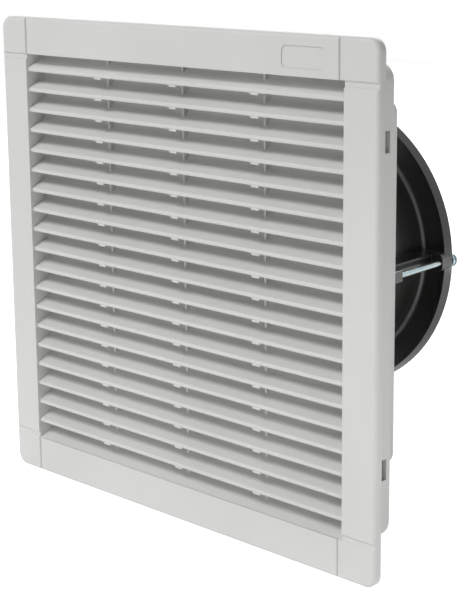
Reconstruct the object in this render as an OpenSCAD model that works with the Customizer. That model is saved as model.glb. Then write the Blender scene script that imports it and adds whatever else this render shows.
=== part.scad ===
// Filter fan for the wall or door of a cabinet. Millimetres.
// X runs to the right seen from the front, Y runs back into the cabinet and Z runs up.
// The origin is the centre of the panel cut-out, on the panel's front surface.
// Air comes in through the louvred cover and the filter mat, and the fan blows it into the cabinet.

/* [Front cover] */
// Width and height of the square cover
cover_w = 320; // [316:0.5:326]
// How far the cover reaches past the box on each side
cover_rim = 16.5; // [15:0.1:18]
// Gap between the cover's face and the flange under it
cover_gap = 0.6; // [0.4:0.1:1]
// Radius of the cover's four corners, seen from the front
cover_corner_r = 8; // [7:0.5:12]
// Rounding of the cover's front edge
cover_edge_r = 2.6; // [1.5:0.1:3]
// Thickness of the cover's face
cover_face_t = 2.5; // [2:0.1:2.8]
// Thickness of the cover's side wall
cover_skirt_t = 2; // [1.6:0.1:2.4]
// From the box's inner wall to the louvre's opening
open_inset = 5.5; // [5:0.1:6.5]
// Width of the grooves that set off the corners
groove_w = 3.6; // [2.5:0.1:5]
// Depth of those grooves
groove_d = 1; // [0.5:0.1:1.4]
// Chamfer on the edges of those grooves
groove_chamfer = 0.5; // [0.2:0.1:0.8]
// Width of the bare recess on the top bar
recess_w = 32; // [26:0.5:40]
// Height of that recess
recess_h = 13; // [10:0.5:15]
// Depth of that recess
recess_d = 0.5; // [0.3:0.1:0.8]
// Corner radius of that recess
recess_r = 3.5; // [2:0.1:4.5]
// From the end of the top bar to the middle of that recess
recess_inset = 29.5; // [26:0.5:36]

/* [Louvre] */
// Number of slats
louvre_count = 19; // [18:1:20]
// From the top of the opening to the tip of the first slat
first_gap = 11.9; // [11:0.1:13]
// How far the sill's hidden tip lies below the opening
sill_sink = 2.5; // [2:0.1:4]
// From the cover's face back to the slats' tips
tip_setback = 1.6; // [1:0.1:2.2]
// Height of the upright lip at each tip
lip_h = 2.7; // [2.2:0.1:3.2]
// Thickness of that lip
lip_t = 1.5; // [1.2:0.1:1.8]
// Depth of the sloping shelf behind the lip
shelf_run = 9.7; // [9:0.1:10.5]
// Rise of that shelf
shelf_rise = 4.3; // [3.8:0.1:4.8]
// Depth of the turned-up rear of a slat
turn_run = 4.2; // [3.6:0.1:4.8]
// How far the turned-up rear reaches above the next tip
rain_overlap = 0.6; // [0.3:0.1:1]
// Thickness of the turned-up rear
slat_t = 1.4; // [1.2:0.1:1.6]
// Thickness of the walls beside the louvre
throat_t = 1.6; // [1.4:0.1:1.7]
// Distance of the outer ribs from the fan's axis
rib_x = 67.4; // [60:0.2:76]
// Thickness of the ribs behind the slats
rib_t = 1.6; // [1.2:0.1:2.4]
// Width of the small nubs below the tips, at the ribs
nub_w = 6; // [4:0.1:8]
// Height of those nubs
nub_h = 1.2; // [0.8:0.1:1.6]

/* [Housing] */
// Outer corner radius of the box that passes through the panel cut-out
box_corner_r = 11; // [9:0.5:13]
// How far the smaller box is set in from the larger one
plenum_step = 27.6; // [26:0.1:29]
// Outer corner radius of the smaller box
plenum_corner_r = 8; // [7:0.5:10]
// Depth of the smaller box behind the panel
plenum_depth = 72.5; // [70:0.5:80]
// Thickness of the housing's walls
wall = 2.5; // [2.2:0.1:2.8]
// Rounding of the rear edges of both boxes
rear_edge_r = 2; // [1:0.1:2.4]
// Thickness of the flange under the cover
flange_t = 2.6; // [2.3:0.1:2.6]
// Gap between the flange's rear face and the panel, filled by the gasket
gasket_gap = 0.5; // [0.3:0.1:0.8]
// Depth of the flange's groove for the gasket
gasket_groove = 1; // [0.6:0.1:1.2]
// Width of the gasket's strip
gasket_w = 5; // [4:0.1:6]
// From the box's side wall to the gasket
gasket_inset = 4.1; // [3.8:0.1:4.4]

/* [Filter] */
// From the box's inner wall to the square filter mat
mat_inset = 8; // [7.6:0.1:10]
// Thickness of the mat
mat_t = 13.8; // [12:0.1:16]
// Gap between the louvre and the mat
mat_gap = 1.9; // [1:0.1:3]
// Thickness of the support grid's frame
grid_frame_t = 2; // [1.6:0.1:2.4]
// Width of the grid's bars
grid_bar = 2; // [1.6:0.1:3]
// Depth of the grid's bars
grid_depth = 5; // [4:0.1:7]
// Number of the grid's bars each way
grid_count = 7; // [5:1:9]
// Thickness of the rim that keeps the mat in place
grid_rim_t = 1.2; // [1:0.1:1.3]
// Height of that rim in front of the frame
grid_rim_h = 8; // [5:0.5:10]

/* [Panel catches] */
// From the box's top or bottom to the middle of a window
catch_inset = 45; // [40:0.5:52]
// Width of a window, along Z
window_w = 12.9; // [12:0.1:15]
// From the panel's front surface to the window's front end
window_y0 = 1; // [0.8:0.1:1.3]
// From the window's rear end to the box's rear wall
window_end = 2.3; // [1.9:0.1:4]
// From the panel's front surface to the catch's pin
catch_pin_y = 19; // [18.5:0.1:19.5]
// Radius of the catch's steel pin
catch_pin_r = 1; // [0.8:0.05:1.1]
// Radius of the catch's hub
catch_hub_r = 2.5; // [2.2:0.05:2.5]
// How far the catch's tooth stands out of the side wall
tooth_h = 3.3; // [2.6:0.1:3.4]
// Thickness of the ears that carry the pin
ear_t = 2; // [1.6:0.1:3]

/* [Fan] */
// Depth of the fan
fan_depth = 80; // [76:0.5:84]
// Distance from the smaller box's side to the fan's round flanges
fan_inset = 12.6; // [11.5:0.1:14]
// Width of those flanges, from their rim to the tube
fan_flange_w = 21.8; // [20.5:0.1:23]
// Wall thickness of the fan's tube
tube_t = 2.2; // [2:0.1:2.6]
// Thickness of the flanges
fan_flange_t = 2.2; // [1.8:0.1:2.6]
// Width of the lip round the rear flange
lip_w = 4.4; // [3.6:0.1:5]
// How far the lip stands forward of the flange
lip_fwd = 3.7; // [2.8:0.1:4.6]
// From the flange's rim to the axes of the four long screws
screw_inset = 2.8; // [2.6:0.1:3.2]
// Shank radius of those screws
screw_r = 1.75; // [1.5:0.05:1.9]
// Width of the webs under those screws
web_w = 10; // [7:0.5:12]
// Height of the rear screw bosses
boss_w = 13; // [11:0.5:14]
// Depth of the rear screw bosses
boss_depth = 11; // [8:0.5:14]
// Length of the front screw bosses
front_boss_l = 24.5; // [16:0.5:30]
// Number of struts that carry the motor
strut_count = 5; // [4:1:6]
// From the outlet to the rear of the plate that carries the motor
plate_inset = 3; // [2.6:0.1:4]
// From the outlet to the rotor's rear edge
rotor_inset = 11.5; // [11:0.1:14]

/* [Motor and impeller] */
// Outer radius of the rotor
rotor_r = 41.5; // [40:0.5:43]
// Length of the rotor
rotor_l = 44; // [42:0.5:46]
// Number of blades
blade_count = 7; // [7:1:7]
// Gap between the blades' tips and the tube
tip_gap = 1.1; // [0.8:0.1:1.6]
// Thickness of a blade
blade_t = 2; // [1.6:0.1:2.6]
// Depth of a blade at its root
blade_root_l = 34; // [28:0.5:35]
// Depth of a blade at its tip
blade_tip_l = 25; // [20:0.5:28]
// Shaft radius
shaft_r = 3; // [2.5:0.1:3.5]
// Outer radius of the ball bearings
bearing_r = 8; // [7.5:0.1:9]
// Width of a ball bearing
bearing_w = 5; // [4:0.1:6]

/* [Finger guard] */
// Radius of the guard's wire
wire_r = 1; // [0.8:0.05:1.1]
// Number of rings
ring_count = 7; // [6:1:8]
// Radius of the smallest ring
ring_first_r = 22; // [18:0.5:26]
// How far the largest ring reaches past the tube
ring_over = 2.5; // [1.5:0.1:4]

/* [Terminals] */
// Number of poles
pole_count = 3; // [3:1:3]
// Distance from pole to pole
pole_pitch = 10; // [9:0.5:12]
// Radius of the holes for the mains wires
entry_r = 2; // [1.6:0.1:2.2]
// Height of the block off the side wall
block_h = 18; // [17:0.5:22]
// Depth of the block
block_depth = 20; // [19:0.5:24]

/* [Hidden] */

$fn = 48;
// One overrun for all cuts
cut = 1;
// Gap between pieces that move past each other or drop in beside each other
gap = 0.4;
// Gap on each side of a catch in its window
catch_gap = 0.3;
// Gap under a soft piece that rests on another
rest_gap = 0.3;
// Radial clearance of a pin or shaft that turns
run_gap = 0.05;
// Gap between pieces of one body that are seated together
seat_gap = 0.1;

abs_grey = [0.82, 0.82, 0.81];
abs_dark = [0.74, 0.74, 0.73];
cast_black = [0.06, 0.06, 0.06];
zinc = [0.66, 0.72, 0.75];
steel = [0.6, 0.61, 0.63];
copper = [0.72, 0.42, 0.24];
brass = [0.78, 0.66, 0.36];
mat_white = [0.93, 0.93, 0.9];
foam_black = [0.15, 0.15, 0.15];
block_white = [0.9, 0.9, 0.86];

half = cover_w / 2;
box_half = half - cover_rim;
box_in = box_half - wall;
box_in_r = box_corner_r - wall;
flange_rear = -gasket_gap;
flange_front = flange_rear - flange_t;
face_in_y = flange_front - cover_gap;
face_y = face_in_y - cover_face_t;
skirt_y = -gap;
open_half = box_in - open_inset;
throat_half = open_half + throat_t;
bar_w = half - open_half;
recess_x = open_half - recess_inset;
recess_z = half - bar_w / 2 - 3 * gap;

louvre_pitch = (2 * open_half - first_gap + sill_sink) / louvre_count;
tip_y = face_y + tip_setback;
shelf_y = tip_y + shelf_run;
back_y = shelf_y + turn_run;
throat_y = back_y + slat_t;
slat_top = louvre_pitch + rain_overlap;

mat_half = box_in - mat_inset;
mat_front = throat_y + mat_gap;
mat_rear = mat_front + mat_t;
grid_front = mat_rear + rest_gap;
rim_in = mat_half + gap;
rim_out = rim_in + grid_rim_t;

shoulder_y = grid_front + grid_frame_t;
box_depth = shoulder_y + wall;
plenum_half = box_half - plenum_step;
plenum_in = plenum_half - wall;
plenum_in_r = plenum_corner_r - wall;
rear_wall_y = plenum_depth - wall;
flange_half = half - cover_skirt_t - gap;
flange_r = cover_corner_r - cover_skirt_t - gap;
gasket_in = box_half + gasket_inset;
gasket_out = gasket_in + gasket_w;
gasket_r = box_corner_r + gasket_inset;

// The catches turn on pins that lie just inside the side walls
pin_x = box_in - catch_hub_r + catch_gap / 3;
catch_z = box_half - catch_inset;
window_y1 = shoulder_y - window_end;
catch_w = window_w - 2 * catch_gap;
stop_w = catch_w + 2 * ear_t - 2 * catch_gap;
finger_y = window_y0 + 2.1 * gap;
ear_half_y = catch_hub_r + run_gap;

tongue_t = 1.8;
tongue_w = 12;
tongue_l = 11.7;
tongue_out = box_in - catch_gap;
bump_h = 0.8;
bump_l = 2.6;
// Where the tongues stand on the side walls and on the top and bottom, as shares of the box's half width
tongue_side_share = 0.28;
tongue_top_share = 0.49;

fan_rear = plenum_depth + fan_depth;
fan_rim_r = plenum_half - fan_inset;
tube_r = fan_rim_r - fan_flange_w;
duct_r = tube_r - tube_t;
screw_pitch_r = fan_rim_r - screw_inset;
flare = 5;
fillet = 4;
flange_face = fan_rear - fan_flange_t;
screw_hole = screw_r + gap;
strut_t = 5;
strut_w = 8;
plate_r = 42;
plate_t = 3.5;
plate_rear = fan_rear - plate_inset;
strut_rear = plate_rear - plate_t / 3;

rotor_rear = fan_rear - rotor_inset;
rotor_front = rotor_rear - rotor_l;
can_t = 3;
blade_y = rotor_front + rotor_l / 2 + can_t / 3;
core_t = 4;
core_in = rotor_r - can_t - core_t;
air_gap = 0.6;
stack_l = 18;
coil_front_gap = 3.6;
coil_rear_gap = 0.5;
coil_h = (rotor_l - can_t - stack_l - coil_front_gap - coil_rear_gap) / 2 - seat_gap;
stack_y = rotor_front + can_t + coil_front_gap + coil_h + seat_gap;
hub_t = 1.9;
hub_r = rotor_r + seat_gap / 2 + hub_t;
blade_tip_r = duct_r - tip_gap;
blade_root_r = hub_r + seat_gap;
tube_wall = 3;
tube_out = bearing_r + tube_wall;
can_boss_l = 7;
sleeve_front = rotor_front + can_boss_l;
sleeve_rear = plate_rear - gap;
shaft_front = rotor_front + 0.6 * can_t;
clip_t = 0.8;
shaft_rear = plate_rear - clip_t;
clip_y = shaft_rear - 2 * clip_t;
groove_r = 0.8 * shaft_r;
clip_r = 1.7 * shaft_r;

ring_last_r = tube_r + ring_over;
eye_r = screw_r + wire_r + gap;
wire_y = fan_rear + seat_gap + wire_r;
ring_y = wire_y + 1.8 * wire_r;
washer_y = wire_y + wire_r + seat_gap;
washer_t = 0.8;
washer_r = 4.5;
head_y = washer_y + washer_t;
head_r = 3.9;
head_h = 2.7;
post_l = 15;
post_r = 5;
screw_grip = 9.5;
screw_tip = rear_wall_y - screw_grip;
recess_cross = 0.9;

block_x = plenum_half;
block_front_gap = 2.8;
block_y = box_depth + block_front_gap;
fix_zone = 6;
block_w = pole_count * pole_pitch + 2 * fix_zone;
pole_x = block_x + block_h / 2;
cage = 7;
cage_h = 8;
cage_y = block_y + 0.5 * block_depth;
fix_z = (block_w - fix_zone) / 2 - seat_gap;
fix_r = 1.3;
fix_head_r = 2.6;
fix_l = 9.5;

// Places

function arc(cx, cy, r, a0, a1, n) =
    [for (i = [0:n]) [cx + r * cos(a0 + (a1 - a0) * i / n), cy + r * sin(a0 + (a1 - a0) * i / n)]];

function bend(a, b, c, n) =
    [for (i = [0:n]) let (t = i / n) (1 - t) * (1 - t) * a + 2 * t * (1 - t) * b + t * t * c];

// Extrudes a drawing made in X and Z from y0 to y1
module along_y(y0, y1) {
    translate([0, y1, 0]) rotate([90, 0, 0]) linear_extrude(y1 - y0) children();
}

// Extrudes a drawing made in Y and Z from x0 to x1
module along_x(x0, x1) {
    translate([x0, 0, 0]) rotate([90, 0, 90]) linear_extrude(x1 - x0) children();
}

// Turns a drawing of radius and Y about the fan's axis
module turned() {
    rotate([-90, 0, 0]) rotate_extrude($fn = 96) children();
}

module rod(x, z, r, y0, y1) {
    translate([x, y0, z]) rotate([-90, 0, 0]) cylinder(r = r, h = y1 - y0);
}

// A rectangle with rounded corners, of half width w and half height h
module rounded_slot(w, h, r) {
    square([2 * w, 2 * (h - r)], center = true);
    square([2 * (w - r), 2 * h], center = true);
    for (x = [-1, 1], y = [-1, 1]) translate([x * (w - r), y * (h - r)]) circle(r);
}

module round_square(h, r) {
    rounded_slot(h, h, r);
}

module ring_square(out, out_r, in, in_r) {
    difference() {
        round_square(out, out_r);
        round_square(in, in_r);
    }
}

// A square slab whose front edge is rounded, seen from the front with rounded corners
module soft_slab(h, corner, edge, y0, y1) {
    for (a = [0, 90]) rotate([0, a, 0]) along_x(corner - h, h - corner) {
        translate([y0 + edge, -h]) square([y1 - y0 - edge, 2 * h]);
        translate([y0, edge - h]) square([2 * edge, 2 * (h - edge)]);
        for (s = [-1, 1]) translate([y0 + edge, s * (h - edge)]) circle(edge);
    }
    for (x = [-1, 1], z = [-1, 1]) translate([x * (h - corner), 0, z * (h - corner)]) turned() {
        translate([0, y0 + edge]) square([corner, y1 - y0 - edge]);
        translate([0, y0]) square([corner - edge, 2 * edge]);
        intersection() {
            translate([corner - edge, y0 + edge]) circle(edge);
            translate([0, y0]) square([corner, 2 * edge]);
        }
    }
}

module rear_slab(h, corner, edge, y0, y1) {
    mirror([0, 1, 0]) soft_slab(h, corner, edge, -y1, -y0);
}

// Front cover

slat_over = bend([shelf_y, lip_h + shelf_rise], [back_y, lip_h + shelf_rise * (1 + turn_run / shelf_run)],
                 [back_y, slat_top], 6);

// Section of a slat in Y and Z: upright lip, sloping shelf and turned-up rear, its tip at Z = 0
module slat_section() {
    end = len(slat_over) - 1;
    polygon(concat(
        [[tip_y + lip_t / 3, 0], [tip_y, lip_t / 3], [tip_y, lip_h]],
        slat_over,
        [for (i = [end:-1:0]) slat_over[i] + [slat_t, i == end ? 0 : -0.9 * slat_t]],
        [[tip_y + lip_t, lip_h - lip_t], [tip_y + lip_t, lip_t / 3], [tip_y + 2 * lip_t / 3, 0]]));
}

module louvre() {
    intersection() {
        for (i = [0:louvre_count]) translate([0, 0, open_half - first_gap - i * louvre_pitch])
            along_x(-open_half - throat_t / 2, open_half + throat_t / 2) slat_section();
        translate([-throat_half, face_y, -open_half - throat_t / 2])
            cube([2 * throat_half, throat_y - face_y, 2 * open_half + throat_t]);
    }
    for (x = [-rib_x, 0, rib_x]) {
        translate([x - rib_t / 2, shelf_y, -open_half - throat_t / 2])
            cube([rib_t, throat_y - shelf_y, 2 * open_half + throat_t]);
        for (i = [0:louvre_count - 1])
            translate([x - nub_w / 2, tip_y + lip_t / 4, open_half - first_gap - i * louvre_pitch - nub_h])
                cube([nub_w, lip_t, nub_h + lip_h / 2]);
    }
}

module groove() {
    edge = groove_w / 2;
    translate([0, face_y, open_half - cut]) linear_extrude(bar_w + 2 * cut)
        for (s = [0, 1]) mirror([s, 0])
            polygon([[0, -cut], [edge + groove_chamfer + cut, -cut], [edge, groove_chamfer],
                     [edge, groove_d], [0, groove_d]]);
}

module tongue() {
    translate([tongue_out - tongue_t, face_in_y - cut, -tongue_w / 2])
        cube([tongue_t, tongue_l + cut, tongue_w]);
    translate([tongue_out, face_in_y + tongue_l, -tongue_w / 2]) linear_extrude(tongue_w)
        polygon([[-tongue_t / 2, -bump_l], [0, -bump_l], [bump_h + catch_gap, -bump_l / 2],
                 [0, 0], [-tongue_t / 2, 0]]);
}

module tongue_groove() {
    translate([box_in - cut, flange_front - cut, -tongue_w / 2 - gap])
        cube([cut + bump_h + gap, tongue_l + cut + gap, tongue_w + 2 * gap]);
}

module at_tongues() {
    for (a = [0:90:270], s = [-1, 1]) rotate([0, a, 0])
        translate([0, 0, s * box_half * (a % 180 == 0 ? tongue_side_share : tongue_top_share)]) children();
}

module front_cover() {
    color(abs_grey) {
        difference() {
            soft_slab(half, cover_corner_r, cover_edge_r, face_y, skirt_y);
            along_y(face_in_y, cut) round_square(half - cover_skirt_t, cover_corner_r - cover_skirt_t);
            translate([-open_half, face_y - cut, -open_half])
                cube([2 * open_half, skirt_y - face_y + 2 * cut, 2 * open_half]);
            for (a = [0:90:270], s = [-1, 1]) rotate([0, a, 0])
                translate([s * (open_half - groove_w / 2), 0, 0]) groove();
            translate([recess_x, 0, recess_z]) along_y(face_y - cut, face_y + recess_d)
                rounded_slot(recess_w / 2, recess_h / 2, recess_r);
        }
        along_y(face_y + cover_face_t / 2, throat_y) difference() {
            square(2 * throat_half, center = true);
            square(2 * open_half, center = true);
        }
        louvre();
        at_tongues() tongue();
    }
}

// Filter

module filter_mat() {
    color(mat_white) translate([-mat_half, mat_front, -mat_half]) cube([2 * mat_half, mat_t, 2 * mat_half]);
}

module filter_grid() {
    grid_open = plenum_in - grid_bar;
    grid_step = 2 * grid_open / (grid_count + 1);
    color(abs_grey) {
        along_y(grid_front, shoulder_y) difference() {
            square(2 * rim_out, center = true);
            square(2 * grid_open, center = true);
        }
        along_y(grid_front - grid_rim_h, shoulder_y) difference() {
            square(2 * rim_out, center = true);
            square(2 * rim_in, center = true);
        }
        for (a = [0, 90], i = [1:grid_count]) rotate([0, a, 0])
            translate([i * grid_step - grid_open - grid_bar / 2, grid_front, -grid_open - grid_bar / 2])
                cube([grid_bar, grid_depth, 2 * grid_open + grid_bar]);
    }
}

// Housing

module at_windows() {
    for (s = [-1, 1], z = [-catch_z, catch_z]) mirror([s < 0 ? 1 : 0, 0, 0]) translate([0, 0, z]) children();
}

module window() {
    translate([box_in - cut, window_y0, -window_w / 2])
        cube([wall + 2 * cut, window_y1 - window_y0, window_w]);
}

module ears() {
    for (s = [0, 1]) mirror([0, 0, s]) difference() {
        translate([0, 0, window_w / 2]) linear_extrude(ear_t) {
            translate([pin_x, catch_pin_y]) circle(ear_half_y);
            translate([pin_x, catch_pin_y - ear_half_y]) square([box_in + wall / 2 - pin_x, 2 * ear_half_y]);
        }
        translate([pin_x, catch_pin_y, 0]) cylinder(r = catch_pin_r + run_gap / 2, h = window_w + ear_t);
    }
}

module screw_post() {
    rod(screw_pitch_r, 0, post_r, rear_wall_y - post_l, rear_wall_y + wall / 2);
}

module housing() {
    color(abs_grey) difference() {
        union() {
            difference() {
                union() {
                    along_y(flange_front, flange_rear) round_square(flange_half, flange_r);
                    rear_slab(box_half, box_corner_r, rear_edge_r, flange_front, box_depth);
                    rear_slab(plenum_half, plenum_corner_r, rear_edge_r, shoulder_y, plenum_depth);
                }
                along_y(flange_front - cut, shoulder_y) round_square(box_in, box_in_r);
                along_y(flange_front - cut, rear_wall_y) round_square(plenum_in, plenum_in_r);
                at_windows() window();
                at_tongues() tongue_groove();
                along_y(flange_rear - gasket_groove, flange_rear + cut)
                    ring_square(gasket_out, gasket_r + gasket_w, gasket_in, gasket_r);
            }
            at_windows() ears();
            for (a = [0:90:270]) rotate([0, a, 0]) screw_post();
            for (z = [-fix_z, fix_z]) translate([-plenum_half + wall / 2, cage_y, z]) rotate([0, 90, 0])
                cylinder(r = 2.4 * fix_r, h = fix_l - wall / 2);
        }
        rod(0, 0, duct_r + flare, rear_wall_y - cut, plenum_depth + cut);
        for (a = [0:90:270]) rotate([0, a, 0])
            rod(screw_pitch_r, 0, screw_r + seat_gap, rear_wall_y - 0.8 * post_l, plenum_depth + cut);
        for (z = [-fix_z, fix_z]) translate([-plenum_half - cut, cage_y, z]) rotate([0, 90, 0])
            cylinder(r = fix_r + seat_gap, h = 0.8 * fix_l + cut);
    }
}

module panel_gasket() {
    color(foam_black) along_y(flange_rear - gasket_groove, 0)
        ring_square(gasket_out, gasket_r + gasket_w, gasket_in, gasket_r);
}

// Panel catches

// Drawing of a catch in X and Y, on the right-hand side: hub, finger and sloping tooth
module catch_section() {
    translate([pin_x, catch_pin_y]) circle(catch_hub_r);
    polygon([[box_in + catch_gap, finger_y], [box_half + 0.2 * tooth_h, finger_y],
             [box_half + tooth_h, finger_y + 0.8 * tooth_h], [box_half + tooth_h, finger_y + 1.15 * tooth_h],
             [box_half - 0.2 * wall, catch_pin_y - 0.8 * catch_hub_r],
             [pin_x + 0.6 * catch_hub_r, catch_pin_y], [pin_x, catch_pin_y],
             [pin_x - 0.9 * catch_hub_r, catch_pin_y - 0.4 * catch_hub_r],
             [box_in - 0.6 * catch_hub_r, throat_y + 2 * gap]]);
}

module catch() {
    stop_t = 0.9 * catch_hub_r - 4 / 3 * catch_gap;
    stop_l = (catch_pin_y - ear_half_y - throat_y) / 2;
    color(abs_dark) difference() {
        union() {
            translate([0, 0, -catch_w / 2]) linear_extrude(catch_w) catch_section();
            translate([pin_x + 0.1 * catch_hub_r, throat_y + 2 * gap, -stop_w / 2])
                cube([stop_t, stop_l, stop_w]);
        }
        translate([pin_x, catch_pin_y, -catch_w]) cylinder(r = catch_pin_r + run_gap, h = 2 * catch_w);
    }
}

module catch_right_top() { translate([0, 0, catch_z]) catch(); }
module catch_right_bottom() { translate([0, 0, -catch_z]) catch(); }
module catch_left_top() { mirror([1, 0, 0]) catch_right_top(); }
module catch_left_bottom() { mirror([1, 0, 0]) catch_right_bottom(); }

module catch_pins() {
    color(steel) at_windows() translate([pin_x, catch_pin_y, -window_w / 2 - ear_t])
        cylinder(r = catch_pin_r, h = window_w + 2 * ear_t);
}

// Fan frame

module fan_profile() {
    lip_in = fan_rim_r - lip_w;
    lip_front = flange_face - lip_fwd;
    polygon(concat(
        arc(duct_r + flare, plenum_depth + flare, flare, 270, 180, 6),
        [[duct_r, fan_rear - 2 * tube_t], [duct_r + tube_t, fan_rear]],
        [[fan_rim_r - gap, fan_rear], [fan_rim_r, fan_rear - gap]],
        [[fan_rim_r - lip_w / 2, lip_front], [lip_in + gap, lip_front]],
        [[lip_in, lip_front + gap], [lip_in, flange_face]],
        arc(tube_r + fillet, flange_face - fillet, fillet, 90, 180, 6),
        arc(tube_r + flare, plenum_depth + fan_flange_t + flare, flare, 180, 270, 6),
        [[fan_rim_r, plenum_depth + fan_flange_t], [fan_rim_r, plenum_depth]]));
}

module fan_mount() {
    mount_y = plenum_depth + fan_flange_t / 2;
    boss_x = screw_pitch_r - boss_w / 4;
    translate([duct_r + tube_t / 2, mount_y, -web_w / 2])
        cube([screw_pitch_r - screw_hole - tube_r - boss_w / 4, fan_depth - fan_flange_t, web_w]);
    intersection() {
        union() {
            rod(screw_pitch_r, 0, 2 * screw_hole, mount_y, plenum_depth + front_boss_l);
            translate([screw_pitch_r - boss_w / 2, mount_y, -screw_hole])
                cube([boss_w / 2, front_boss_l - fan_flange_t / 2, 2 * screw_hole]);
            rod(boss_x, 0, boss_w / 2, fan_rear - boss_depth, fan_rear - fan_flange_t / 2);
        }
        rod(0, 0, fan_rim_r - gap, plenum_depth, fan_rear);
    }
}

module strut() {
    translate([plate_r - 2 * strut_t, strut_rear - strut_t, -strut_w / 2])
        cube([duct_r + tube_t / 2 - plate_r + 2 * strut_t, strut_t, strut_w]);
}

module fan_frame() {
    color(cast_black) difference() {
        union() {
            turned() fan_profile();
            for (a = [0:90:270]) rotate([0, a, 0]) fan_mount();
        }
        for (a = [0:90:270]) rotate([0, a, 0])
            rod(screw_pitch_r, 0, screw_hole, plenum_depth - cut, fan_rear + cut);
    }
}

module motor_spider() {
    color(cast_black) difference() {
        union() {
            intersection() {
                for (i = [1:strut_count]) rotate([0, i * 360 / strut_count, 0]) strut();
                rod(0, 0, duct_r - seat_gap, strut_rear - 2 * strut_t, fan_rear);
            }
            rod(0, 0, plate_r, plate_rear - plate_t, plate_rear);
        }
        rod(0, 0, tube_out + run_gap / 2, plate_rear - 2 * strut_t, fan_rear);
    }
}

module motor_end_cap() {
    color(cast_black) rod(0, 0, plate_r / 2, plate_rear, plate_rear + plate_t / 3);
}

// Motor

module bearing_tube() {
    color(steel) difference() {
        rod(0, 0, tube_out, sleeve_front, sleeve_rear);
        rod(0, 0, bearing_r, sleeve_front - cut, sleeve_front + bearing_w);
        rod(0, 0, 0.85 * bearing_r, sleeve_front - cut, fan_rear);
        rod(0, 0, bearing_r, sleeve_rear - 2 * bearing_w, fan_rear);
    }
}

module bearing(y) {
    color(steel) difference() {
        rod(0, 0, bearing_r - run_gap / 2, y, y + bearing_w);
        rod(0, 0, shaft_r + run_gap, y - cut, y + bearing_w + cut);
    }
}

module front_bearing() { bearing(sleeve_front); }
module rear_bearing() { bearing(sleeve_rear - 2 * bearing_w); }

module stator_stack() {
    color(steel) difference() {
        rod(0, 0, core_in - air_gap, stack_y, stack_y + stack_l);
        rod(0, 0, tube_out + run_gap, stack_y - cut, stack_y + stack_l + cut);
    }
}

module windings() {
    coil_in = tube_out + 3 * gap;
    coil_out = core_in - 6 * air_gap;
    coil_r = (coil_out - coil_in) / 2;
    color(copper) for (y = [stack_y - coil_h / 2 - seat_gap, stack_y + stack_l + coil_h / 2 + seat_gap])
        translate([0, y, 0]) turned() intersection() {
            translate([coil_in + coil_r, 0]) circle(coil_r);
            translate([coil_in, -coil_h / 2]) square([2 * coil_r, coil_h]);
        }
}

module shaft() {
    color(zinc) difference() {
        rod(0, 0, shaft_r, shaft_front, shaft_rear);
        difference() {
            rod(0, 0, 2 * shaft_r, clip_y - run_gap, clip_y + clip_t + run_gap);
            rod(0, 0, groove_r, clip_y - cut, clip_y + clip_t + cut);
        }
    }
}

module circlip() {
    color(steel) difference() {
        rod(0, 0, clip_r, clip_y, clip_y + clip_t);
        rod(0, 0, groove_r + run_gap / 2, clip_y - cut, clip_y + clip_t + cut);
        translate([0, clip_y - cut, -groove_r]) cube([2 * clip_r, clip_t + 2 * cut, 2 * groove_r]);
    }
}

module rotor_can() {
    color(cast_black) difference() {
        union() {
            rod(0, 0, rotor_r - 2 * can_t / 3, rotor_front, rotor_rear);
            rod(0, 0, rotor_r, rotor_front + can_t / 2, rotor_rear);
        }
        difference() {
            rod(0, 0, rotor_r - can_t, rotor_front + can_t, rotor_rear + cut);
            rod(0, 0, 2 * shaft_r, rotor_front, sleeve_front - 2 * gap);
        }
        rod(0, 0, shaft_r + run_gap / 2, shaft_front, rotor_rear);
    }
}

module rotor_core() {
    color(steel) difference() {
        rod(0, 0, rotor_r - can_t - run_gap / 2, stack_y - cut, stack_y + stack_l + cut);
        rod(0, 0, core_in, stack_y - 2 * cut, stack_y + stack_l + 2 * cut);
    }
}

// Impeller

module impeller_hub() {
    color(cast_black) difference() {
        rod(0, 0, hub_r, blade_y - blade_root_l / 2 - cut, blade_y + blade_root_l / 2 + cut);
        rod(0, 0, rotor_r + seat_gap / 2, rotor_front - cut, rotor_rear + cut);
    }
}

// Points of one face of a blade: u runs from root to tip and v from leading to trailing edge
blade_nu = 7;
blade_nv = 9;
blade_root_turn = 33;
blade_tip_turn = 40;
blade_sweep = 16;
blade_camber = 3.5;

function blade_point(u, v, side) =
    let (r = blade_root_r + u * (blade_tip_r - blade_root_r),
         turn = blade_sweep * u * u + (v - 0.5) * (blade_root_turn + u * (blade_tip_turn - blade_root_turn)),
         depth = blade_root_l + u * (blade_tip_l - blade_root_l) - 2 * blade_t,
         thick = blade_t * (0.3 + 2.8 * v * (1 - v)) / 2,
         y = (v - 0.5) * depth + blade_camber * (1 - 4 * (v - 0.5) * (v - 0.5)) + side * thick)
    [r * cos(turn), y, r * sin(turn)];

blade_points = [for (side = [-1, 1], i = [0:blade_nu], j = [0:blade_nv])
    blade_point(i / blade_nu, j / blade_nv, side)];

function spot(side, i, j) = side * (blade_nu + 1) * (blade_nv + 1) + i * (blade_nv + 1) + j;

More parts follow.
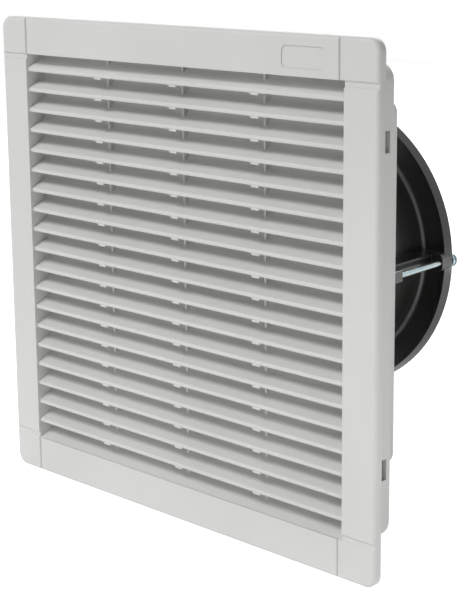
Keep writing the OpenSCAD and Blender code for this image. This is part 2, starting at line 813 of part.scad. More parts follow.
blade_faces = concat(
    [for (i = [0:blade_nu - 1], j = [0:blade_nv - 1], h = [0, 1])
        h == 0 ? [spot(0, i, j), spot(0, i + 1, j), spot(0, i + 1, j + 1)]
               : [spot(0, i, j), spot(0, i + 1, j + 1), spot(0, i, j + 1)]],
    [for (i = [0:blade_nu - 1], j = [0:blade_nv - 1], h = [0, 1])
        h == 0 ? [spot(1, i, j), spot(1, i + 1, j + 1), spot(1, i + 1, j)]
               : [spot(1, i, j), spot(1, i, j + 1), spot(1, i + 1, j + 1)]],
    [for (i = [0:blade_nu - 1], h = [0, 1])
        h == 0 ? [spot(0, i, 0), spot(1, i, 0), spot(1, i + 1, 0)]
               : [spot(0, i, 0), spot(1, i + 1, 0), spot(0, i + 1, 0)]],
    [for (i = [0:blade_nu - 1], h = [0, 1])
        h == 0 ? [spot(0, i, blade_nv), spot(1, i + 1, blade_nv), spot(1, i, blade_nv)]
               : [spot(0, i, blade_nv), spot(0, i + 1, blade_nv), spot(1, i + 1, blade_nv)]],
    [for (j = [0:blade_nv - 1], h = [0, 1])
        h == 0 ? [spot(0, 0, j), spot(1, 0, j + 1), spot(1, 0, j)]
               : [spot(0, 0, j), spot(0, 0, j + 1), spot(1, 0, j + 1)]],
    [for (j = [0:blade_nv - 1], h = [0, 1])
        h == 0 ? [spot(0, blade_nu, j), spot(1, blade_nu, j), spot(1, blade_nu, j + 1)]
               : [spot(0, blade_nu, j), spot(1, blade_nu, j + 1), spot(0, blade_nu, j + 1)]]);

module blade(i) {
    color(cast_black) translate([0, blade_y, 0]) rotate([0, i * 360 / blade_count, 0])
        polyhedron(points = blade_points, faces = blade_faces);
}

// Finger guard

module finger_guard() {
    ring_step = (ring_last_r - ring_first_r) / (ring_count - 1);
    color(zinc) {
        for (i = [0:ring_count - 1]) translate([0, ring_y, 0]) turned()
            translate([ring_first_r + i * ring_step, 0]) circle(wire_r, $fn = 24);
        for (a = [0:90:270]) rotate([0, a, 0]) {
            translate([ring_first_r, wire_y, 0]) rotate([0, 90, 0])
                cylinder(r = wire_r, h = screw_pitch_r - eye_r - ring_first_r, $fn = 24);
            translate([screw_pitch_r, wire_y, 0]) turned() translate([eye_r, 0]) circle(wire_r, $fn = 24);
        }
    }
}

// Screws

module at_screws() {
    for (a = [0:90:270]) rotate([0, a, 0]) translate([screw_pitch_r, 0, 0]) children();
}

module fan_screws() {
    color(zinc) at_screws() difference() {
        union() {
            rod(0, 0, screw_r, screw_tip, head_y + head_h / 2);
            turned() intersection() {
                translate([0, head_y]) square([head_r, head_h]);
                translate([0, head_y - head_h]) circle(1.94 * head_h);
            }
        }
        for (s = [0, 90]) translate([0, head_y + head_h, 0]) rotate([0, s, 0])
            cube([1.2 * head_r, head_h, recess_cross], center = true);
    }
}

module fan_washers() {
    color(zinc) at_screws() difference() {
        rod(0, 0, washer_r, washer_y, washer_y + washer_t);
        rod(0, 0, screw_hole, washer_y - cut, washer_y + washer_t + cut);
    }
}

// Terminals, on the left-hand wall of the smaller box

module at_poles() {
    for (i = [0:pole_count - 1]) translate([0, 0, (i - (pole_count - 1) / 2) * pole_pitch]) children();
}

module terminal_block() {
    color(block_white) mirror([1, 0, 0]) difference() {
        translate([block_x, block_y, -block_w / 2]) cube([block_h, block_depth, block_w]);
        for (s = [0, 1]) mirror([0, 0, s])
            translate([block_x + block_h / 3, block_y - cut, block_w / 2 - fix_zone - seat_gap])
                cube([block_h, block_depth + 2 * cut, fix_zone + cut]);
        at_poles() {
            rod(pole_x, 0, entry_r, cage_y, block_y + block_depth + cut);
            translate([pole_x - cage_h / 2 - seat_gap, cage_y - cage / 2 - seat_gap, -cage / 2 - seat_gap])
                cube([block_h, cage + 2 * seat_gap, cage + 2 * seat_gap]);
        }
        for (z = [-fix_z, fix_z]) translate([block_x - cut, cage_y, z]) rotate([0, 90, 0])
            cylinder(r = fix_r + gap, h = block_h);
    }
}

module terminal_clamps() {
    color(brass) mirror([1, 0, 0]) at_poles() difference() {
        translate([pole_x - cage_h / 2, cage_y - cage / 2, -cage / 2]) cube([cage_h, cage, cage]);
        rod(pole_x, 0, 1.1 * entry_r, cage_y - cage, cage_y + cage);
        translate([pole_x, cage_y, 0]) rotate([0, 90, 0]) cylinder(r = fix_r + seat_gap, h = cage_h);
    }
}

module terminal_screws() {
    color(zinc) mirror([1, 0, 0]) at_poles() translate([pole_x, cage_y, 0]) rotate([0, 90, 0]) difference() {
        union() {
            translate([0, 0, entry_r]) cylinder(r = fix_r, h = cage_h / 2);
            translate([0, 0, cage_h / 2 + seat_gap]) cylinder(r = fix_head_r, h = 2 * fix_r);
        }
        translate([0, 0, cage_h / 2 + seat_gap + 2 * fix_r])
            cube([2 * fix_head_r + cut, fix_r / 2, fix_r], center = true);
    }
}

module block_screws() {
    head_x = block_h / 3 + seat_gap;
    color(zinc) mirror([1, 0, 0]) for (z = [-fix_z, fix_z])
        translate([block_x, cage_y, z]) rotate([0, 90, 0]) difference() {
            union() {
                translate([0, 0, -0.7 * fix_l]) cylinder(r = fix_r, h = 0.7 * fix_l + head_x + fix_r / 2);
                translate([0, 0, head_x]) cylinder(r = fix_head_r, h = 0.7 * fix_head_r);
            }
            translate([0, 0, head_x + 0.7 * fix_head_r])
                cube([2 * fix_head_r + cut, fix_r / 2, fix_r], center = true);
        }
}

front_cover();
filter_mat();
filter_grid();
housing();
panel_gasket();
catch_right_top();
catch_right_bottom();
catch_left_top();
catch_left_bottom();
catch_pins();
fan_frame();
motor_spider();
motor_end_cap();
bearing_tube();
stator_stack();
windings();
front_bearing();
rear_bearing();
shaft();
circlip();
rotor_can();
rotor_core();
impeller_hub();
for (i = [1:blade_count]) blade(i);
finger_guard();
fan_screws();
fan_washers();
terminal_block();
terminal_clamps();
terminal_screws();
block_screws();
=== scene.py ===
# %% [markdown]
# # A filter fan, dressed for its picture
#
# The object is a square filter fan for the door of a cabinet. A louvred cover of light grey plastic sits on a
# housing that steps back twice, and a black axial fan is screwed to the back of it. The shapes come from the
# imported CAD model, so this lesson is about finishes, light and the one soft piece, the filter mat.

# %% Load the frame
import math

import bmesh
import bpy
from mathutils import Matrix, Vector, noise


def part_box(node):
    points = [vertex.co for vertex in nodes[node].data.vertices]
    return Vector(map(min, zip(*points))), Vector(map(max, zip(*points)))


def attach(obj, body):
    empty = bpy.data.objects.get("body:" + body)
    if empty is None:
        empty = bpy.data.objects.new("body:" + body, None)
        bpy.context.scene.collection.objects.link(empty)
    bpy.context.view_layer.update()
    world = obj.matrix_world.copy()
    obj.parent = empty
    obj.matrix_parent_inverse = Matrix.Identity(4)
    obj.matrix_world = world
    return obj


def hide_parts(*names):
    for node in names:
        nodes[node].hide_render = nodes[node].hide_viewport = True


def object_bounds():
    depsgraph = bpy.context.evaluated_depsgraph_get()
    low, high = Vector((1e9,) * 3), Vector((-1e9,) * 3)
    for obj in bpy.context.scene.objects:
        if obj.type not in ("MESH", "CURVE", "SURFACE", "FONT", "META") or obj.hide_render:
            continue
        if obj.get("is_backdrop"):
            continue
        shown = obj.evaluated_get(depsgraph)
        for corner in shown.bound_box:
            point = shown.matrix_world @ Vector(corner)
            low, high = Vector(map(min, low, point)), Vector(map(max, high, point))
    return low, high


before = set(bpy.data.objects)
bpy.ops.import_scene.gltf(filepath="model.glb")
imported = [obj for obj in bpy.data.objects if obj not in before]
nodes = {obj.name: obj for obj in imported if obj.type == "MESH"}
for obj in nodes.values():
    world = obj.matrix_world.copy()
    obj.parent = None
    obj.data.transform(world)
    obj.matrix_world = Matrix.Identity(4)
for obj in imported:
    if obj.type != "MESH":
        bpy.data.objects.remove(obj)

cad_low, cad_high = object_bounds()
print(len(nodes), "nodes; the model measures", [round(v, 4) for v in cad_high - cad_low], "m")

# %% [markdown]
# ## Colours and nodes
#
# Paint shops and screens give a colour as a hex code, but a renderer adds light, so it wants linear values.
# One function turns the first into the second. A second one adds a shader node, because each finish needs
# several and the same three lines would otherwise repeat.

# %% Two helpers
def srgb(code):
    """A hex colour as linear red, green, blue and alpha."""
    parts = [int(code[i : i + 2], 16) / 255 for i in (0, 2, 4)]
    return tuple(c / 12.92 if c <= 0.04045 else ((c + 0.055) / 1.055) ** 2.4 for c in parts) + (1.0,)


def add(tree, kind, settings=(), links=()):
    """Adds a node, gives it its settings and links its sockets."""
    node = tree.nodes.new(kind)
    for name, value in dict(settings).items():
        if isinstance(name, int) or name in node.inputs:
            node.inputs[name].default_value = value
        else:
            setattr(node, name, value)
    for name, source in dict(links).items():
        tree.links.new(source, node.inputs[name])
    return node


print("light grey is", [round(v, 3) for v in srgb("DEDEDC")[:3]])

# %% [markdown]
# ## Starting a finish
#
# Every finish starts the same way: a Principled shader with even values for the whole surface, and the
# object's own coordinates in metres, so that a pattern's scale is a real size. Moulded and cast edges are
# never razor sharp, and the thin line of light on them is what makes them read as real. The Bevel node rounds
# the shading across an edge by a given radius, which suits parts with hundreds of small edges.

# %% Helper for a new finish
def new_finish(name, colour, roughness, edge=0.0003, **even):
    """A new material, its tree, shader, coordinates and a normal rounded at the edges."""
    material = bpy.data.materials.new(name)
    material.use_nodes = True
    tree = material.node_tree
    shader = tree.nodes["Principled BSDF"]
    shader.inputs["Base Color"].default_value = srgb(colour)
    shader.inputs["Roughness"].default_value = roughness
    for socket, value in even.items():
        shader.inputs[socket.replace("_", " ")].default_value = value
    place = add(tree, "ShaderNodeTexCoord").outputs["Object"]
    round_edge = add(tree, "ShaderNodeBevel", {"samples": 4, "Radius": edge}).outputs["Normal"]
    return material, tree, shader, place, round_edge


mm = 0.001  # the patterns are given in millimetres
finishes = {}

# %% [markdown]
# ## Moulded ABS
#
# The cover, the housing and the support grid are injection-moulded ABS in light grey. The mould is spark
# eroded, which leaves a fine even grain that scatters the light, so the plastic looks matt and soft. The real
# grain is about 0.1 mm, too fine for this picture, so it is drawn at 0.7 mm and kept shallow. A second, very
# wide pattern shifts the tone by a hair, as the flow of the plastic does.

# %% Light grey ABS
abs_light, tree, shader, place, round_edge = new_finish(
    "abs_light_grey_spark_eroded", "DEDEDC", 0.52, 0.45 * mm, IOR=1.53)
grain = add(tree, "ShaderNodeTexNoise", {"Scale": 1 / (0.7 * mm), "Detail": 2.0}, {"Vector": place})
flow = add(tree, "ShaderNodeTexNoise", {"Scale": 1 / (90 * mm), "Detail": 1.0}, {"Vector": place})
tone = add(tree, "ShaderNodeValToRGB", (), {"Fac": flow.outputs["Fac"]})
tone.color_ramp.elements[0].position, tone.color_ramp.elements[1].position = 0.35, 0.65
tone.color_ramp.elements[0].color, tone.color_ramp.elements[1].color = srgb("DCDCDA"), srgb("E0E0DE")
tree.links.new(tone.outputs["Color"], shader.inputs["Base Color"])
rough = add(tree, "ShaderNodeMapRange", {"To Min": 0.46, "To Max": 0.6}, {"Value": grain.outputs["Fac"]})
tree.links.new(rough.outputs["Result"], shader.inputs["Roughness"])
bump = add(tree, "ShaderNodeBump", {"Strength": 0.22, "Distance": 0.05 * mm},
           {"Height": grain.outputs["Fac"], "Normal": round_edge})
tree.links.new(bump.outputs["Normal"], shader.inputs["Normal"])
finishes["abs_grey"] = abs_light
print("finish", abs_light.name)

# %% [markdown]
# ## The catches' plastic
#
# The catches are moulded in a tougher, slightly darker grade. They come from a polished mould that wears, so
# they shine a little more, with faint drag marks along the way they slide past the panel.

# %% Darker ABS for the catches
abs_dark, tree, shader, place, round_edge = new_finish(
    "abs_mid_grey_polished_mould", "BDBDBB", 0.38, 0.3 * mm, IOR=1.53)
along = add(tree, "ShaderNodeMapping", {"Scale": (1 / (0.5 * mm), 1 / (6 * mm), 1 / (0.5 * mm))},
            {"Vector": place})
drag = add(tree, "ShaderNodeTexNoise", {"Scale": 1.0, "Detail": 2.0}, {"Vector": along.outputs["Vector"]})
rough = add(tree, "ShaderNodeMapRange", {"To Min": 0.3, "To Max": 0.5}, {"Value": drag.outputs["Fac"]})
tree.links.new(rough.outputs["Result"], shader.inputs["Roughness"])
bump = add(tree, "ShaderNodeBump", {"Strength": 0.15, "Distance": 0.04 * mm},
           {"Height": drag.outputs["Fac"], "Normal": round_edge})
tree.links.new(bump.outputs["Normal"], shader.inputs["Normal"])
finishes["abs_dark"] = abs_dark
print("finish", abs_dark.name)

# %% [markdown]
# ## Black enamel on die-cast aluminium
#
# The fan's frame is cast in aluminium and dipped in black enamel. The enamel flows into a thick glossy skin
# with a slight orange peel: shallow waves about 3 mm long that make each reflection wobble. The colour leans
# to green-grey where the skin is thin. A clear coat over a rougher base gives the sharp and the soft
# reflection that such paint shows together.

# %% Gloss enamel
enamel, tree, shader, place, round_edge = new_finish(
    "enamel_gloss_black_on_cast_aluminium", "0F100E", 0.38, 0.5 * mm, IOR=1.5, Coat_Weight=0.6,
    Coat_Roughness=0.07, Coat_IOR=1.5)
peel = add(tree, "ShaderNodeTexNoise", {"Scale": 1 / (3 * mm), "Detail": 1.5}, {"Vector": place})
thin = add(tree, "ShaderNodeTexNoise", {"Scale": 1 / (35 * mm), "Detail": 2.0}, {"Vector": place})
tone = add(tree, "ShaderNodeValToRGB", (), {"Fac": thin.outputs["Fac"]})
tone.color_ramp.elements[0].position, tone.color_ramp.elements[1].position = 0.35, 0.7
tone.color_ramp.elements[0].color, tone.color_ramp.elements[1].color = srgb("0D0E0D"), srgb("151712")
tree.links.new(tone.outputs["Color"], shader.inputs["Base Color"])
bump = add(tree, "ShaderNodeBump", {"Strength": 0.3, "Distance": 0.06 * mm},
           {"Height": peel.outputs["Fac"], "Normal": round_edge})
tree.links.new(bump.outputs["Normal"], shader.inputs["Normal"])
finishes["enamel"] = enamel
print("finish", enamel.name)

# %% [markdown]
# ## Satin black powder coat
#
# The rotor and the blades are pressed steel with a black powder coat. The powder melts into a satin skin with
# a fine pebble of about 0.5 mm, so the light spreads over it and the blades keep their shape in shadow.

# %% Powder coat
powder, tree, shader, place, round_edge = new_finish(
    "powder_coat_satin_black_on_pressed_steel", "121211", 0.42, 0.3 * mm, IOR=1.5)
pebble = add(tree, "ShaderNodeTexVoronoi", {"Scale": 1 / (0.8 * mm), "feature": "SMOOTH_F1"},
             {"Vector": place})
rough = add(tree, "ShaderNodeMapRange", {"To Min": 0.36, "To Max": 0.5},
            {"Value": pebble.outputs["Distance"]})
tree.links.new(rough.outputs["Result"], shader.inputs["Roughness"])
bump = add(tree, "ShaderNodeBump", {"Strength": 0.2, "Distance": 0.05 * mm},
           {"Height": pebble.outputs["Distance"], "Normal": round_edge})
tree.links.new(bump.outputs["Normal"], shader.inputs["Normal"])
finishes["powder"] = powder
print("finish", powder.name)

# %% [markdown]
# ## Blue zinc plate
#
# Screws, washers and the finger guard are steel with blue-passivated zinc. It is a bright cool metal, and the
# passivation varies in thickness, so the tint drifts between blue and a faint straw over a few millimetres.

# %% Zinc plate
zinc, tree, shader, place, round_edge = new_finish(
    "zinc_plate_blue_passivated_on_steel", "A9B9C0", 0.28, 0.15 * mm, Metallic=1.0)
drift = add(tree, "ShaderNodeTexNoise", {"Scale": 1 / (5 * mm), "Detail": 2.0}, {"Vector": place})
tone = add(tree, "ShaderNodeValToRGB", (), {"Fac": drift.outputs["Fac"]})
tone.color_ramp.elements[0].position, tone.color_ramp.elements[1].position = 0.3, 0.75
tone.color_ramp.elements[0].color, tone.color_ramp.elements[1].color = srgb("A3B6BF"), srgb("B9C0BE")
tree.links.new(tone.outputs["Color"], shader.inputs["Base Color"])
crystal = add(tree, "ShaderNodeTexNoise", {"Scale": 1 / (0.6 * mm), "Detail": 3.0}, {"Vector": place})
rough = add(tree, "ShaderNodeMapRange", {"To Min": 0.22, "To Max": 0.36}, {"Value": crystal.outputs["Fac"]})
tree.links.new(rough.outputs["Result"], shader.inputs["Roughness"])
bump = add(tree, "ShaderNodeBump", {"Strength": 0.12, "Distance": 0.03 * mm},
           {"Height": crystal.outputs["Fac"], "Normal": round_edge})
tree.links.new(bump.outputs["Normal"], shader.inputs["Normal"])
finishes["zinc"] = zinc
print("finish", zinc.name)

# %% [markdown]
# ## Ground and stamped steel
#
# The shaft, the bearings, the pins and the bearing tube are ground steel: fine rings round the axis, drawn
# here as thin bands along Y. The stator and the rotor's core are stacks of 0.5 mm sheets, so they show as
# bands of that pitch, each a little different in tone from the next.

# %% Ground steel
steel, tree, shader, place, round_edge = new_finish("steel_ground", "C3C5C8", 0.3, 0.15 * mm, Metallic=1.0)
rings = add(tree, "ShaderNodeMapping", {"Scale": (1 / (9 * mm), 1 / (0.25 * mm), 1 / (9 * mm))},
            {"Vector": place})
lines = add(tree, "ShaderNodeTexNoise", {"Scale": 1.0, "Detail": 3.0}, {"Vector": rings.outputs["Vector"]})
rough = add(tree, "ShaderNodeMapRange", {"To Min": 0.2, "To Max": 0.42}, {"Value": lines.outputs["Fac"]})
tree.links.new(rough.outputs["Result"], shader.inputs["Roughness"])
bump = add(tree, "ShaderNodeBump", {"Strength": 0.2, "Distance": 0.02 * mm},
           {"Height": lines.outputs["Fac"], "Normal": round_edge})
tree.links.new(bump.outputs["Normal"], shader.inputs["Normal"])
finishes["steel"] = steel
print("finish", steel.name)

# %% Laminated core
sheets, tree, shader, place, round_edge = new_finish(
    "electrical_steel_in_half_millimetre_sheets", "7C7F84", 0.4, 0.1 * mm, Metallic=1.0)
band = add(tree, "ShaderNodeTexWave",
           {"wave_type": "BANDS", "bands_direction": "Y", "Scale": 1 / (0.5 * mm) * math.pi / 10,
                                       "Distortion": 0.4}, {"Vector": place})
tone = add(tree, "ShaderNodeValToRGB", (), {"Fac": band.outputs["Fac"]})
tone.color_ramp.elements[0].color, tone.color_ramp.elements[1].color = srgb("55585D"), srgb("8A8D92")
tree.links.new(tone.outputs["Color"], shader.inputs["Base Color"])
bump = add(tree, "ShaderNodeBump", {"Strength": 0.5, "Distance": 0.08 * mm},
           {"Height": band.outputs["Fac"], "Normal": round_edge})
tree.links.new(bump.outputs["Normal"], shader.inputs["Normal"])
finishes["sheets"] = sheets
print("finish", sheets.name)

# %% [markdown]
# ## Enamelled copper
#
# The coils are wound from 0.5 mm copper wire in a clear red-brown enamel. The turns lie side by side, so the
# surface is a row of small glossy ridges, and the colour is darker between the turns.

# %% Copper winding
copper, tree, shader, place, round_edge = new_finish(
    "copper_wire_enamelled_and_varnished", "A8542A", 0.3, 0.1 * mm, Metallic=0.8, Coat_Weight=0.6,
    Coat_Roughness=0.15)
turns = add(tree, "ShaderNodeTexWave",
            {"wave_type": "BANDS", "bands_direction": "Y", "Scale": 1 / (0.9 * mm) * math.pi / 10,
                                        "Distortion": 1.5, "Detail": 1.0}, {"Vector": place})
tone = add(tree, "ShaderNodeValToRGB", (), {"Fac": turns.outputs["Fac"]})
tone.color_ramp.elements[0].color, tone.color_ramp.elements[1].color = srgb("5A2A16"), srgb("B9643A")
tree.links.new(tone.outputs["Color"], shader.inputs["Base Color"])
bump = add(tree, "ShaderNodeBump", {"Strength": 0.8, "Distance": 0.3 * mm},
           {"Height": turns.outputs["Fac"], "Normal": round_edge})
tree.links.new(bump.outputs["Normal"], shader.inputs["Normal"])
finishes["copper"] = copper
print("finish", copper.name)

# %% [markdown]
# ## Terminals and gasket
#
# The wire clamps are drawn brass with a satin pull along their length. The block is natural polyamide, a
# creamy plastic that lets a little light in. The gasket is closed-cell foam, black and dull, with a skin of
# tiny cells that are cut open here and there.

# %% Brass
brass, tree, shader, place, round_edge = new_finish("brass_drawn", "D2B26A", 0.3, 0.15 * mm, Metallic=1.0)
pull = add(tree, "ShaderNodeMapping", {"Scale": (1 / (6 * mm), 1 / (0.3 * mm), 1 / (0.3 * mm))},
           {"Vector": place})
scratch = add(tree, "ShaderNodeTexNoise", {"Scale": 1.0, "Detail": 3.0}, {"Vector": pull.outputs["Vector"]})
rough = add(tree, "ShaderNodeMapRange", {"To Min": 0.22, "To Max": 0.4}, {"Value": scratch.outputs["Fac"]})
tree.links.new(rough.outputs["Result"], shader.inputs["Roughness"])
bump = add(tree, "ShaderNodeBump", {"Strength": 0.2, "Distance": 0.02 * mm},
           {"Height": scratch.outputs["Fac"], "Normal": round_edge})
tree.links.new(bump.outputs["Normal"], shader.inputs["Normal"])
finishes["brass"] = brass
print("finish", brass.name)

# %% Polyamide
polyamide, tree, shader, place, round_edge = new_finish(
    "polyamide_natural_moulded", "E4E2D6", 0.35, 0.3 * mm, IOR=1.53, Subsurface_Weight=0.15,
    Subsurface_Scale=1.5 * mm)
cloud = add(tree, "ShaderNodeTexNoise", {"Scale": 1 / (8 * mm), "Detail": 2.0}, {"Vector": place})
tone = add(tree, "ShaderNodeValToRGB", (), {"Fac": cloud.outputs["Fac"]})
tone.color_ramp.elements[0].color, tone.color_ramp.elements[1].color = srgb("DEDCCE"), srgb("E8E6DC")
tree.links.new(tone.outputs["Color"], shader.inputs["Base Color"])
skin = add(tree, "ShaderNodeTexNoise", {"Scale": 1 / (0.8 * mm), "Detail": 1.0}, {"Vector": place})
bump = add(tree, "ShaderNodeBump", {"Strength": 0.1, "Distance": 0.04 * mm},
           {"Height": skin.outputs["Fac"], "Normal": round_edge})
tree.links.new(bump.outputs["Normal"], shader.inputs["Normal"])
finishes["polyamide"] = polyamide
print("finish", polyamide.name)

# %% Foam
foam, tree, shader, place, round_edge = new_finish("foam_closed_cell_black", "1E1E1E", 0.9, 0.5 * mm)
cells = add(tree, "ShaderNodeTexVoronoi", {"Scale": 1 / (0.9 * mm)}, {"Vector": place})
tone = add(tree, "ShaderNodeValToRGB", (), {"Fac": cells.outputs["Distance"]})
tone.color_ramp.elements[0].color, tone.color_ramp.elements[1].color = srgb("151515"), srgb("2C2C2B")
tree.links.new(tone.outputs["Color"], shader.inputs["Base Color"])
bump = add(tree, "ShaderNodeBump", {"Strength": 0.7, "Distance": 0.25 * mm},
           {"Height": cells.outputs["Distance"], "Normal": round_edge})
tree.links.new(bump.outputs["Normal"], shader.inputs["Normal"])
finishes["foam"] = foam
print("finish", foam.name)

# %% [markdown]
# ## Bonded polyester fibre
#
# The filter mat is a fleece of crimped polyester fibres, bonded where they cross. It is white, loose and
# without a weave, so it is drawn as three layers of stretched noise that cross at different angles. The gaps
# between the fibres are darker, because light gets lost in them. A sheen lights the loose ends at the rim.

# %% Fleece
fleece, tree, shader, place, round_edge = new_finish(
    "polyester_fleece_bonded_white", "ECECE6", 0.95, 0.5 * mm, Sheen_Weight=0.35, Sheen_Roughness=0.6)
layers = []
for angle in (0.3, 1.35, 2.45):
    turned = add(tree, "ShaderNodeMapping", {"Rotation": (0.0, angle, 0.0)}, {"Vector": place})
    drawn = add(tree, "ShaderNodeMapping", {"Scale": (1 / (9 * mm), 1 / (1.5 * mm), 1 / (0.8 * mm))},
                {"Vector": turned.outputs["Vector"]})
    fibre = add(tree, "ShaderNodeTexNoise", {"Scale": 1.0, "Detail": 3.0, "Distortion": 0.6},
                {"Vector": drawn.outputs["Vector"]})
    layers.append(fibre.outputs["Fac"])
first = add(tree, "ShaderNodeMath", {"operation": "MAXIMUM"}, {0: layers[0], 1: layers[1]})
tangle = add(tree, "ShaderNodeMath", {"operation": "MAXIMUM"}, {0: first.outputs["Value"], 1: layers[2]})
tone = add(tree, "ShaderNodeValToRGB", (), {"Fac": tangle.outputs["Value"]})
tone.color_ramp.elements[0].position, tone.color_ramp.elements[1].position = 0.48, 0.72
tone.color_ramp.elements[0].color, tone.color_ramp.elements[1].color = srgb("CFCFC8"), srgb("F0F0EA")
tree.links.new(tone.outputs["Color"], shader.inputs["Base Color"])
bump = add(tree, "ShaderNodeBump", {"Strength": 0.9, "Distance": 0.5 * mm},
           {"Height": tangle.outputs["Value"], "Normal": round_edge})
tree.links.new(bump.outputs["Normal"], shader.inputs["Normal"])
finishes["fleece"] = fleece
print("finish", fleece.name)

# %% [markdown]
# ## Who wears what
#
# Each node of the model gets the finish of the real piece. The blades have numbers in their names, so they
# are picked by the start of the name.

# %% Dress the nodes
wears = {
    "front_cover": "abs_grey", "housing": "abs_grey", "filter_grid": "abs_grey", "filter_mat": "fleece",
    "panel_gasket": "foam", "catch_right_top": "abs_dark", "catch_right_bottom": "abs_dark",
    "catch_left_top": "abs_dark", "catch_left_bottom": "abs_dark", "catch_pins": "steel",
    "fan_frame": "enamel", "motor_spider": "enamel", "motor_end_cap": "powder", "bearing_tube": "steel",
    "stator_stack": "sheets", "windings": "copper", "front_bearing": "steel", "rear_bearing": "steel",
    "shaft": "steel", "circlip": "steel", "rotor_can": "powder", "rotor_core": "sheets",
    "impeller_hub": "powder", "finger_guard": "zinc", "fan_screws": "zinc", "fan_washers": "zinc",
    "terminal_block": "polyamide", "terminal_clamps": "brass", "terminal_screws": "zinc",
    "block_screws": "zinc",
}
for name, node in nodes.items():
    chosen = finishes["powder" if name.startswith("blade_") else wears[name]]
    for held in node.material_slots:
        held.material = chosen
print(len(nodes), "nodes dressed in", len(finishes), "finishes")

# %% [markdown]
# ## The filter mat
#
# The mat is cut a little too large from a roll of fleece and pressed into its rim, so its faces swell between
# the edges, its sides pull in between the corners and nothing on it is quite flat. A cube with a fine grid on
# each face is pushed into that shape point by point, which needs no simulation and comes out the same each
# time. It fills the space of the CAD mat and never leaves it, so it stays clear of the louvre and the grid.

# %% Model the mat
low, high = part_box("filter_mat")
middle, reach = (low + high) / 2, (high - low) / 2
crown, rim_start, rim_width, rim_drop = 0.16, 0.965, 0.035, 0.45  # how the faces fall off towards the rim
sink, wave, fluff = 0.065, 0.035, 0.03  # room kept for the ripples, and their height
waist, belly, nibble = 0.004, 0.006, 0.002  # how far the sides pull in
mesh = bmesh.new()
bmesh.ops.create_cube(mesh, size=2.0)
bmesh.ops.subdivide_edges(mesh, edges=mesh.edges[:], cuts=64, use_grid_fill=True)
for v in mesh.verts:
    x, y, z = v.co
    side = max(abs(x), abs(z))
    swell = 1 - crown * side**10 - rim_drop * max(0.0, side - rim_start) / rim_width
    ripple = (noise.noise(Vector((x * 7, y * 2, z * 7))) * wave
              + noise.noise(Vector((x * 41, y * 5, z * 41))) * fluff)
    pull = (1 - waist * (1 - min(abs(x), abs(z)) ** 2) - belly * y * y
            - nibble * (1 + noise.noise(Vector((x * 30, y * 3, z * 30)))))
    v.co = Vector((middle.x + reach.x * x * pull,
                   middle.y + reach.y * y * (swell - sink + ripple),
                   middle.z + reach.z * z * pull))
bmesh.ops.recalc_face_normals(mesh, faces=mesh.faces[:])
for face in mesh.faces:
    face.smooth = True
shape = bpy.data.meshes.new("filter_mat_fleece")
mesh.to_mesh(shape)
mesh.free()
mat_piece = bpy.data.objects.new("filter_mat_fleece", shape)
bpy.context.scene.collection.objects.link(mat_piece)
shape.materials.append(fleece)
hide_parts("filter_mat")
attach(mat_piece, "fan_housing")
print("mat:", len(shape.polygons), "faces")

# %% [markdown]
# ## Floor and surroundings
#
# A catalogue picture stands on white. The floor is plain and pale, catches the soft shadow and throws light
# back up at the object. To read as white it glows a little, but only for the camera and for reflections, so
# that it adds no light to the plastic. The world does the same: white to look at, dimmer as a lamp.

# %% Helper for what a ray sees
def seen_directly(tree):
    """One for rays from the camera, in reflections and through glass, zero for light that bounces about."""
    path = add(tree, "ShaderNodeLightPath")
    seen = add(tree, "ShaderNodeMath", {"operation": "ADD"},
               {0: path.outputs["Is Camera Ray"], 1: path.outputs["Is Glossy Ray"]})
    seen = add(tree, "ShaderNodeMath", {"operation": "ADD", "use_clamp": True},
               {0: seen.outputs["Value"], 1: path.outputs["Is Transmission Ray"]})
    return seen.outputs["Value"]


# %% Floor
floor_half_width, floor_glow = 2.6, 0.76
mesh = bmesh.new()
bmesh.ops.create_grid(mesh, x_segments=1, y_segments=1, size=floor_half_width)
bmesh.ops.translate(mesh, verts=mesh.verts[:], vec=(0, 0, cad_low.z))
shape = bpy.data.meshes.new("floor")
mesh.to_mesh(shape)
mesh.free()
floor = bpy.data.objects.new("floor", shape)
bpy.context.scene.collection.objects.link(floor)
paper = bpy.data.materials.new("paper_white_matt")
paper.use_nodes = True
tree = paper.node_tree
shader = tree.nodes["Principled BSDF"]
shader.inputs["Base Color"].default_value = srgb("F2F2F2")
shader.inputs["Roughness"].default_value = 0.9
shader.inputs["Specular IOR Level"].default_value = 0.0
glow = add(tree, "ShaderNodeMath", {"operation": "MULTIPLY", 1: floor_glow}, {0: seen_directly(tree)})
shader.inputs["Emission Color"].default_value = (1.0, 1.0, 1.0, 1.0)
tree.links.new(glow.outputs["Value"], shader.inputs["Emission Strength"])
shape.materials.append(paper)
floor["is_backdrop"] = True
print("floor at", round(cad_low.z, 4), "m")

# %% World
world = bpy.data.worlds.new("studio")
bpy.context.scene.world = world
world.use_nodes = True
tree = world.node_tree
tree.nodes.clear()
world_level = 0.17
dim = add(tree, "ShaderNodeBackground", {"Color": (1.0, 1.0, 1.0, 1.0), "Strength": world_level})
white = add(tree, "ShaderNodeBackground", {"Color": (1.0, 1.0, 1.0, 1.0), "Strength": 1.0})
both = add(tree, "ShaderNodeMixShader", (),
           {0: seen_directly(tree), 1: dim.outputs["Background"], 2: white.outputs["Background"]})
add(tree, "ShaderNodeOutputWorld", (), {"Surface": both.outputs["Shader"]})
print("world is white to look at")

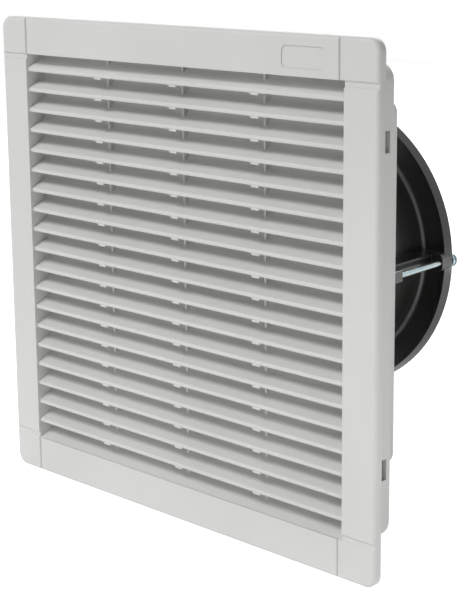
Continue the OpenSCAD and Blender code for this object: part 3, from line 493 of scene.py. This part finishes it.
# %% [markdown]
# ## Lamps
#
# Five soft lamps light the object. The main one stands steep in front: its light falls almost square on the
# shelves of the slats and reaches a little way under each lip, so every gap keeps a dark line at its top. A
# weaker one, lower on the left, fills the bars. A long flat one lies close before the object, so the bars
# grow lighter towards the floor, as they do on a white table, and a short one on the right does the same for
# the side walls. The last stands behind, so the fan and the back of the housing are lit as well. A lamp of P
# watts at d metres lights a surface to the level of white when P is about ten times d squared, which is how
# the watts are worked out.

# %% Five soft lamps
def lamp(name, place, aim, size, level):
    """An area lamp, hidden from the camera, that lights the aim to a share of the level of white."""
    place, aim = Vector(place), Vector(aim)
    data = bpy.data.lights.new(name, "AREA")
    data.shape, data.size, data.size_y = "RECTANGLE", size[0], size[1]
    data.energy = level * math.pi**2 * (aim - place).length_squared
    thing = bpy.data.objects.new(name, data)
    thing.location = place
    thing.rotation_euler = (aim - place).to_track_quat("-Z", "Y").to_euler()
    thing.visible_camera = False
    bpy.context.scene.collection.objects.link(thing)
    return thing


lamp("steep_front", (-0.5, -1.5, 2.0), (0, 0, 0), (1.2, 0.8), 0.44)
lamp("high_front_left", (-0.9, -1.9, 1.5), (0, 0, 0), (1.2, 1.2), 0.13)
lamp("near_floor", (0.0, -0.24, -0.15), (0, 0, -0.13), (0.7, 0.08), 0.4)
lamp("low_right", (0.5, -0.02, -0.15), (0.16, 0, -0.15), (0.6, 0.12), 0.6)
lamp("rear_high_left", (-0.7, 2.0, 1.3), (0, 0.05, 0), (1.4, 1.0), 0.45)
print("five lamps")

# %% [markdown]
# ## Camera
#
# The picture was taken from the right of the front, a little above, with a long lens. Its upright edges stay
# upright although the camera looks down, which a view camera does by shifting its lens, so the camera here
# has a shift too. Its place, turn and focal length come from fitting known corners of the object.

# %% Camera
turn, tilt, roll = math.radians(42.43), math.radians(11.24), math.radians(-0.55)
focal_px, frame_px, lens_shift = 1486.0, 600.0, -0.15
camera_place = Vector((0.641, -0.653, 0.226))
look = Vector((-math.sin(turn) * math.cos(tilt), math.cos(turn) * math.cos(tilt), -math.sin(tilt)))
right = Vector((math.cos(turn), math.sin(turn), 0.0))
up = right.cross(look)
right, up = math.cos(roll) * right + math.sin(roll) * up, -math.sin(roll) * right + math.cos(roll) * up
data = bpy.data.cameras.new("camera")
data.sensor_width = 36.0
data.lens = focal_px * data.sensor_width / frame_px
data.shift_x, data.shift_y = 0.0, lens_shift
data.clip_start, data.clip_end = 0.02, 50.0
camera = bpy.data.objects.new("camera", data)
camera.matrix_world = Matrix.Translation(camera_place) @ Matrix((right, up, -look)).transposed().to_4x4()
bpy.context.scene.collection.objects.link(camera)
bpy.context.scene.camera = camera
bpy.context.scene.view_settings.view_transform = "Standard"
print("lens", round(data.lens, 1), "mm")

# %% Measure the sizes and finish
low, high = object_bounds()
print("visual model measures", [round(v, 4) for v in high - low], "m")
